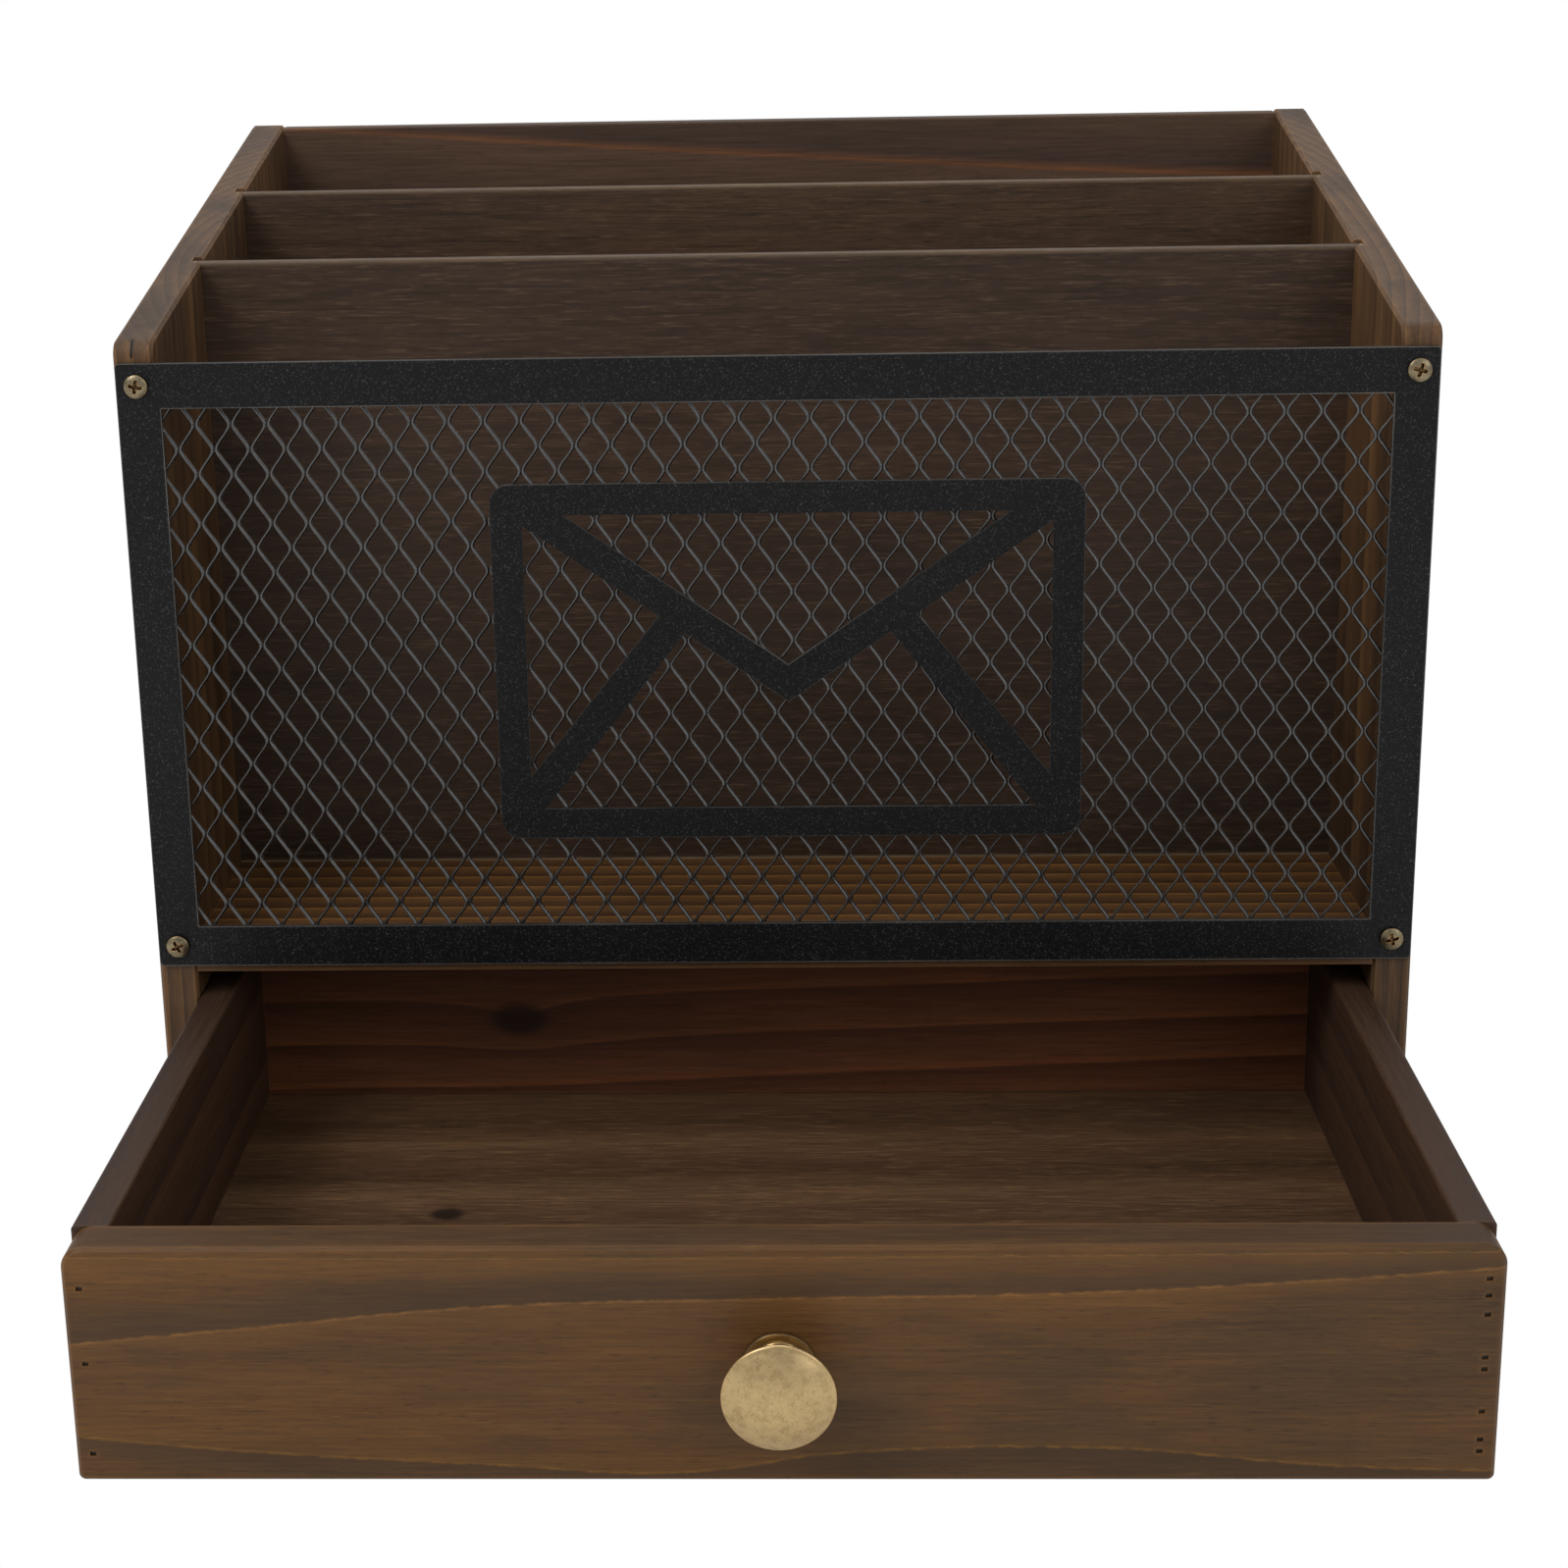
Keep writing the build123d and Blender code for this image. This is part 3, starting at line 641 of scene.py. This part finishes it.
meshLow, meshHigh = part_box("mesh_screen")
meshWidth, meshHeight = meshHigh.x - meshLow.x, meshHigh.z - meshLow.z
strandsAcross = round(meshWidth / (meshScreen["pitchAcross"] * millimetre / 2))
screen = runTree("meshScreen", meshStrandTree(strandPowder), {
    "Width": meshWidth, "Height": meshHeight,
    "Pitch Across": meshWidth / strandsAcross * 2, "Pitch Up": meshScreen["pitchUp"] * millimetre,
    "Strand Width": meshScreen["strandWidth"] * millimetre,
    "Strand Thickness": meshScreen["strandThickness"] * millimetre,
    "Lean": math.radians(meshScreen["lean"]), "Lean Swing": math.radians(meshScreen["leanSwing"]),
    "Slope Hold": meshScreen["slopeHold"], "Bond": meshScreen["bond"], "Ease": meshScreen["ease"],
    "Steps": round(meshHeight / (meshScreen["pitchUp"] * millimetre) * meshScreen["stepsPerPitch"]) + 1,
    "Strands": strandsAcross // 2 + 1,
}, Vector((0, 0, (meshLow.z + meshHigh.z) / 2)), meshScreen["smoothTo"])
frontNow = min(vertex.co.y for vertex in screen.data.vertices)
screen.data.transform(Matrix.Translation((0, meshLow.y - frontNow, 0)))  # its front on the frame's back
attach(screen, "case")
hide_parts("mesh_screen")
print("mesh screen done:", len(screen.data.polygons), "faces")


# Frame screws: pan heads with a tapered cross recess, each turned differently

panHead = {
    "Head Diameter": 5.9, "Head Height": 1.5, "Shank Diameter": 2.8, "Shank Length": 16.0,  # mm
    "Recess Length": 3.5, "Recess Width": 0.85, "Recess Depth": 1.15,
    "End Taper": 0.5, "Wall Taper": 0.14,  # mm, how far the recess's ends and walls slope
}
panHeadShape = {"sides": 72, "steps": 29, "crownPart": 0.8, "crownFall": 0.45, "shankSides": 24, "seed": 4,
                "smoothTo": 38}


def panHeadTree(material, shape):
    tree, given = newGeometryTree("panHeadScrews", ["Spacing Across", "Spacing Up", *panHead], ["Seed"])
    calc, combine = partial(maths, tree), partial(combined, tree)

    # a sheet rolled into the head: x goes round it, y from the crown over the rim to the seat
    sheet = addNode(tree, "GeometryNodeMeshGrid", links={
        "Size X": 1.0, "Size Y": 1.0, "Vertices X": shape["sides"] + 1, "Vertices Y": shape["steps"] + 1})
    roundIt, down = separated(tree, addNode(tree, "GeometryNodeInputPosition").outputs[0])[:2]
    turn = calc("MULTIPLY", roundIt, 2 * math.pi)
    step = calc("ADD", down, 0.5)
    share = clamped(tree, calc("DIVIDE", step, shape["crownPart"]))
    side = clamped(tree, calc("DIVIDE", calc("SUBTRACT", step, shape["crownPart"]), 1 - shape["crownPart"]))
    radius = calc("MULTIPLY", calc("MULTIPLY", share, given["Head Diameter"]), 0.5)
    x = calc("MULTIPLY", radius, calc("COSINE", turn))
    y = calc("MULTIPLY", radius, calc("SINE", turn))
    crown = calc("MULTIPLY_ADD", calc("POWER", share, 3.0), -shape["crownFall"], 1.0)
    level = calc("MULTIPLY", calc("MULTIPLY", crown, given["Head Height"]), calc("SUBTRACT", 1.0, side))

    def wing(along, across):  # one bar of the cross, its walls a little sloped
        ends = calc("SUBTRACT", calc("MULTIPLY", given["Recess Length"], 0.5), calc("ABSOLUTE", along))
        walls = calc("SUBTRACT", calc("MULTIPLY", given["Recess Width"], 0.5), calc("ABSOLUTE", across))
        return calc("MULTIPLY", clamped(tree, calc("DIVIDE", ends, given["End Taper"])),
                    clamped(tree, calc("DIVIDE", walls, given["Wall Taper"])))

    cross = calc("MAXIMUM", wing(x, y), wing(y, x))
    level = calc("SUBTRACT", level, calc("MULTIPLY", cross, given["Recess Depth"]))
    head = addNode(tree, "GeometryNodeSetPosition", links={
        "Geometry": sheet.outputs[0], "Position": combine(x, y, level)})
    head = addNode(tree, "GeometryNodeMergeByDistance", links={0: head.outputs[0], "Distance": 1e-6})
    shank = addNode(tree, "GeometryNodeMeshCylinder", links={
        "Vertices": shape["shankSides"], "Radius": calc("MULTIPLY", given["Shank Diameter"], 0.5),
        "Depth": given["Shank Length"]})
    middle = calc("MULTIPLY", given["Shank Length"], -0.5)
    shank = addNode(tree, "GeometryNodeTransform", links={
        "Geometry": shank.outputs[0], "Translation": combine(z=middle)})
    corners = addNode(tree, "GeometryNodeMeshGrid", links={
        "Size X": given["Spacing Across"], "Size Y": given["Spacing Up"], "Vertices X": 2, "Vertices Y": 2})
    upright = addNode(tree, "GeometryNodeTransform", links={
        "Geometry": corners.outputs[0], "Rotation": (math.pi / 2, 0, 0)})
    anyTurn = addNode(tree, "FunctionNodeRandomValue", {"data_type": "FLOAT"}, {
        2: 0.0, 3: math.pi / 2, "Seed": given["Seed"]}).outputs[1]
    placed = addNode(tree, "GeometryNodeInstanceOnPoints", links={
        "Points": upright.outputs[0], "Instance": joinGeometry(tree, (head, shank)),
        "Rotation": combine(math.pi / 2, anyTurn)})
    finishGeometryTree(tree, placed.outputs[0], material)
    return tree


screwLow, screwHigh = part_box("frame_screws")
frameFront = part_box("front_frame")[0].y
headAcross = panHead["Head Diameter"] * millimetre
screws = runTree("panHeadScrews", panHeadTree(screwBrass, panHeadShape), {
    "Spacing Across": screwHigh.x - screwLow.x - headAcross,
    "Spacing Up": screwHigh.z - screwLow.z - headAcross,
    **{label: size * millimetre for label, size in panHead.items()}, "Seed": panHeadShape["seed"],
}, Vector((0, frameFront, (screwLow.z + screwHigh.z) / 2)), panHeadShape["smoothTo"])
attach(screws, "case")
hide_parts("frame_screws")
print("frame screws done:", len(screws.data.polygons), "faces")


# Knob: turned in one piece, with a bead at the rim, a ringed foot and the blind bore of its screw

turnedKnob = {
    "sides": 96, "domeSteps": 14, "smoothTo": 50,
    "bore": [(9.0, 0.0), (9.0, 2.05), (0.0, 2.05)],  # mm: height above the drawer front, then radius
    "foot": [(0.0, 8.0), (0.15, 8.2), (0.85, 8.2), (1.15, 8.0), (1.2, 7.5), (0.85, 7.1), (0.8, 6.2),
             (1.0, 5.85), (1.5, 5.7), (2.5, 5.7), (2.8, 5.45), (2.9, 5.0)],
    "neck": [(3.2, 4.3), (4.2, 4.0), (6.2, 4.0), (7.6, 4.5), (9.2, 6.4), (10.6, 9.0), (11.7, 11.4)],
    "rim": [(12.1, 12.1), (12.5, 12.38), (12.9, 12.38), (13.2, 12.2), (13.28, 11.95)],
    "crown": 17.0,
}


def domePoints(look):  # from the rim's last point to the crown, on one arc
    rimHeight, rimRadius = look["rim"][-1]
    rise = look["crown"] - rimHeight
    arc = (rimRadius ** 2 + rise ** 2) / (2 * rise)
    half = math.asin(rimRadius / arc)
    for step in range(1, look["domeSteps"] + 1):
        angle = half * (1 - step / look["domeSteps"])
        yield look["crown"] - arc * (1 - math.cos(angle)), arc * math.sin(angle)


def makeKnob(look):
    profile = [point for key in ("bore", "foot", "neck", "rim") for point in look[key]]
    profile += domePoints(look)
    low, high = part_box("drawer_knob")
    axisX, axisZ = (low.x + high.x) / 2, (low.z + high.z) / 2
    work = bmesh.new()
    rings = []
    for height, radius in profile:
        ring = []
        for side in range(look["sides"] if radius > 1e-6 else 1):  # one point on the axis
            angle = 2 * math.pi * side / look["sides"]
            spot = (axisX + radius * millimetre * math.cos(angle), high.y - height * millimetre,
                    axisZ + radius * millimetre * math.sin(angle))
            ring.append(work.verts.new(spot))
        rings.append(ring)
    for first, second in zip(rings, rings[1:]):
        for side in range(look["sides"]):
            after = (side + 1) % look["sides"]
            corners = [first[side % len(first)], first[after % len(first)],
                       second[after % len(second)], second[side % len(second)]]
            work.faces.new(list(dict.fromkeys(corners)))
    bmesh.ops.recalc_face_normals(work, faces=work.faces)
    mesh = bpy.data.meshes.new("turnedKnob")
    work.to_mesh(mesh)
    work.free()
    smooth(mesh, look["smoothTo"])
    mesh.materials.append(brass)
    return newPiece("turnedKnob", mesh)


knobPiece = makeKnob(turnedKnob)
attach(knobPiece, "drawer")
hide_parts("drawer_knob")
print("knob done")


# Emblem: a plain envelope outline cut from sheet, in the plane of the frame

emblem = {
    "width": 150.0, "height": 94.0, "band": 8.0, "corner": 5.0, "centre": (3.0, 156.0), "sheet": 1.0,  # mm
    "flap": 0.56, "meet": 0.36,  # how far down the flap's point lies; how far out the lower folds meet it
    "cornerSteps": 6,
}


def emblemOutlines(look):  # outer edge, then the four cut-outs
    wide, high = look["width"] / 2, look["height"] / 2
    band, corner = look["band"], look["corner"]
    inWide, inHigh = wide - band, high - band
    outer = []
    for signX, signZ, start in ((1, 1, 0), (-1, 1, 90), (-1, -1, 180), (1, -1, 270)):
        for step in range(look["cornerSteps"] + 1):
            angle = math.radians(start + 90 * step / look["cornerSteps"])
            outer.append((signX * (wide - corner) + corner * math.cos(angle),
                          signZ * (high - corner) + corner * math.sin(angle)))

    tip = high - look["flap"] * 2 * high
    flapRise = (high - tip) / wide
    meet = look["meet"] * wide
    foldRise = (tip + meet * flapRise + high) / (wide - meet)
    flapLift = band / 2 * math.hypot(1, flapRise)  # half a band, measured upright
    foldLift = band / 2 * math.hypot(1, foldRise)

    def underFlap(x):
        return tip + abs(x) * flapRise - flapLift

    def crossing(lift):  # where a fold's edge meets the flap's lower edge
        return (wide * foldRise - high - tip + flapLift + lift) / (flapRise + foldRise)

    topX = (inHigh - tip - flapLift) / flapRise
    sideX, lowX = crossing(foldLift), crossing(-foldLift)
    baseX = wide - (high - inHigh + foldLift) / foldRise
    top = [(topX, inHigh), (0, tip + flapLift), (-topX, inHigh)]
    side = [(inWide, underFlap(inWide)), (inWide, (wide - inWide) * foldRise - high + foldLift),
            (sideX, underFlap(sideX))]
    bottom = [(0, tip - flapLift), (-lowX, underFlap(lowX)), (-baseX, -inHigh), (baseX, -inHigh),
              (lowX, underFlap(lowX))]
    return [outer, top, side, [(-x, z) for x, z in side], bottom]


def makeEmblem(look):
    curve = bpy.data.curves.new("sheetEmblem", "CURVE")
    curve.dimensions = "2D"
    curve.fill_mode = "BOTH"
    curve.extrude = look["sheet"] / 2 * millimetre
    for outline in emblemOutlines(look):
        spline = curve.splines.new("POLY")
        spline.points.add(len(outline) - 1)
        for point, (x, z) in zip(spline.points, outline):
            point.co = (x * millimetre, z * millimetre, 0, 1)
        spline.use_cyclic_u = True
    mesh = meshFrom(newPiece("sheetEmblemMaker", curve))
    centreX, centreZ = look["centre"]
    middle = frameFront + look["sheet"] / 2 * millimetre
    mesh.transform(Matrix.Translation((centreX * millimetre, middle, centreZ * millimetre))
                   @ Matrix.Rotation(math.radians(90), 4, "X"))
    mesh.materials.clear()
    mesh.materials.append(emblemPaint)
    work = bmesh.new()
    work.from_mesh(mesh)
    bmesh.ops.remove_doubles(work, verts=work.verts, dist=1e-6)
    bmesh.ops.recalc_face_normals(work, faces=work.faces)
    work.to_mesh(mesh)
    work.free()
    return newPiece("sheetEmblem", mesh)


emblemPaint = powderCoat("mattPaintedSheet", {**powderLook, "colour": "0a0a0a", "roughness": 0.6}, 0.5)
emblemPiece = makeEmblem(emblem)
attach(emblemPiece, "case")
print("emblem done")


# Floor and light

studio = {
    "floorColour": "e9e8e6", "floorSize": 6.0,  # half its width in metres
    "worldStrength": 0.55,
    "lamps": [  # name, place, width in metres, watts
        ("keyLamp", (-1.0, -0.9, 1.5), 0.9, 17.0),
        ("fillLamp", (1.2, -1.2, 0.9), 1.0, 5.0),
        ("topLamp", (0.0, 0.5, 1.5), 1.2, 11.0),
    ],
    "aim": (0, 0, 0.12),
}
white = (1, 1, 1, 1)


def whenSeen(tree, shown, unseen):  # one shader for the camera, another for light that bounces
    seen = addNode(tree, "ShaderNodeLightPath").outputs["Is Camera Ray"]
    return addNode(tree, "ShaderNodeMixShader", links={0: seen, 1: unseen.outputs[0], 2: shown.outputs[0]})


def makeFloor(look):
    size = look["floorSize"]
    mesh = bpy.data.meshes.new("floor")
    corners = [(-size, -size, 0), (size, -size, 0), (size, size, 0), (-size, size, 0)]
    mesh.from_pydata(corners, [], [(0, 1, 2, 3)])
    floor = newPiece("floor", mesh)
    material, tree = newMaterial("paperSweep")  # seen as pure white, lit as pale paper
    paper = addNode(tree, "ShaderNodeBsdfDiffuse", links={"Color": linearColour(look["floorColour"])})
    bright = addNode(tree, "ShaderNodeEmission", links={"Color": white, "Strength": 1.0})
    finishMaterial(tree, whenSeen(tree, bright, paper))
    mesh.materials.append(material)


def makeLights(look):
    world = bpy.data.worlds.new("studio")
    world.use_nodes = True
    tree = world.node_tree
    tree.nodes.clear()
    sky, backdrop = [addNode(tree, "ShaderNodeBackground", links={"Color": white, "Strength": strength})
                     for strength in (look["worldStrength"], 1.0)]
    addNode(tree, "ShaderNodeOutputWorld", links={0: whenSeen(tree, backdrop, sky).outputs[0]})
    bpy.context.scene.world = world
    for name, place, size, watts in look["lamps"]:
        light = bpy.data.lights.new(name, "AREA")
        light.size = size
        light.energy = watts
        lamp = newPiece(name, light)
        lamp.location = place
        lamp.rotation_euler = (Vector(look["aim"]) - Vector(place)).to_track_quat("-Z", "Y").to_euler()


makeFloor(studio)
makeLights(studio)
print("studio done")


# Camera: at the photograph's place and angle

camera = {
    "place": (6.8, -728.1, 334.1), "down": 14.449, "left": 1.854, "roll": -1.066,  # mm and degrees
    "lens": 59.02, "sensor": 36.0, "shift": (0.0395, -0.1139),
}


def makeCamera(look):
    data = bpy.data.cameras.new("camera")
    data.lens = look["lens"]
    data.sensor_width = look["sensor"]
    data.shift_x, data.shift_y = look["shift"]
    data.clip_start = 0.01
    eye = newPiece("camera", data)
    turn = (Matrix.Rotation(math.radians(look["left"]), 4, "Z")
            @ Matrix.Rotation(math.radians(90 - look["down"]), 4, "X")
            @ Matrix.Rotation(math.radians(look["roll"]), 4, "Z"))
    eye.matrix_world = Matrix.Translation([c * millimetre for c in look["place"]]) @ turn
    bpy.context.scene.camera = eye


makeCamera(camera)
bpy.context.scene.view_settings.view_transform = "Standard"
